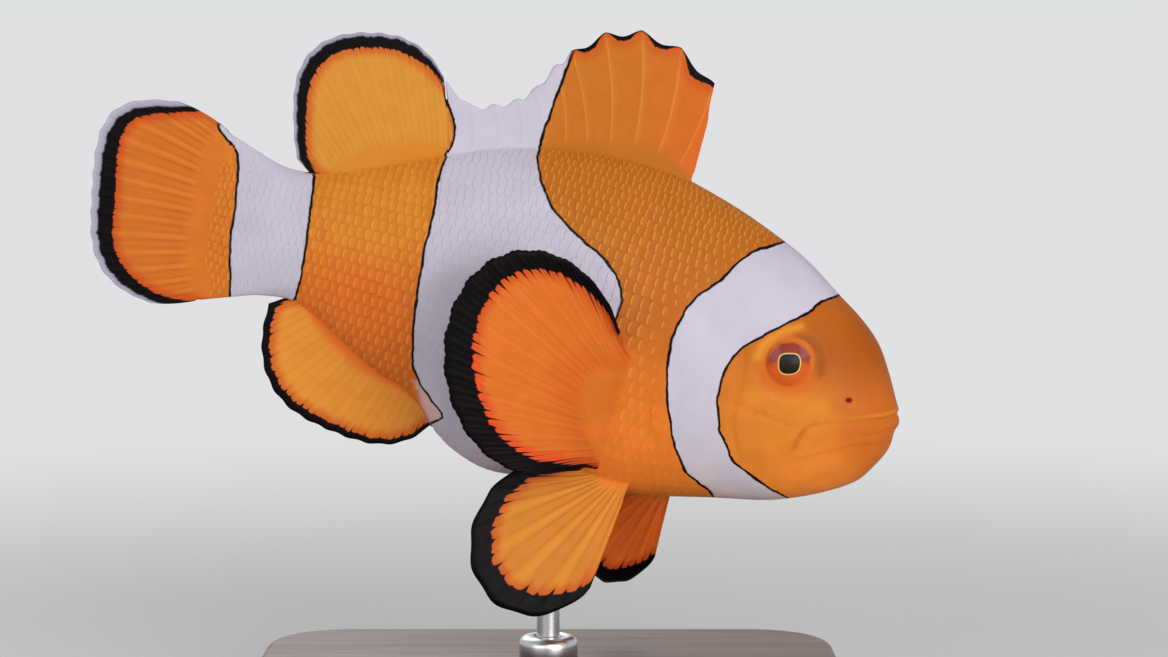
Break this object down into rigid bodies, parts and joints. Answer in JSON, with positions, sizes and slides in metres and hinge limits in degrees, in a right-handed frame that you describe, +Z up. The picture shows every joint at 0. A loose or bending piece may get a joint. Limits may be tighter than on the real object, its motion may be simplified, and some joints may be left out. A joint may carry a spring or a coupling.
{
  "type": "clownfish display model",
  "caption": "Life-size still clownfish with a blunt head, a deep flat-sided body and spread rounded fins, held over a flat base by one short rod.",
  "frame": {"origin": "middle of the stand's flat underside", "axes": "+X the way the fish heads, +Y its left side, +Z up"},
  "size_m": [0.0881, 0.04, 0.0755],
  "materials": {
    "skin": "satin scaled skin, orange with three pale lilac-white bands edged in black",
    "fins": "satin thin rayed fins, orange with black margins",
    "eyes": "wet and glossy, black pupil in a thin gold ring, orange and brown iris",
    "stand_wood": "dark stained wood, satin varnish",
    "stand_metal": "brushed steel"
  },
  "bodies": {
    "root": {"head": "skin", "lower_jaw": "skin", "gill_cover_right": "skin", "gill_cover_left": "skin", "trunk": "skin", "tail_stalk": "skin", "dorsal_fin_spiny": "fins", "dorsal_fin_soft": "fins", "anal_fin": "fins", "tail_fin": "fins", "pectoral_fin_right": "fins", "pectoral_fin_left": "fins", "pelvic_fin_right": "fins", "pelvic_fin_left": "fins", "eye_right": "eyes", "eye_left": "eyes", "stand_base": "stand_wood", "stand_collar": "stand_metal", "stand_rod": "stand_metal"}
  },
  "joints": []
}
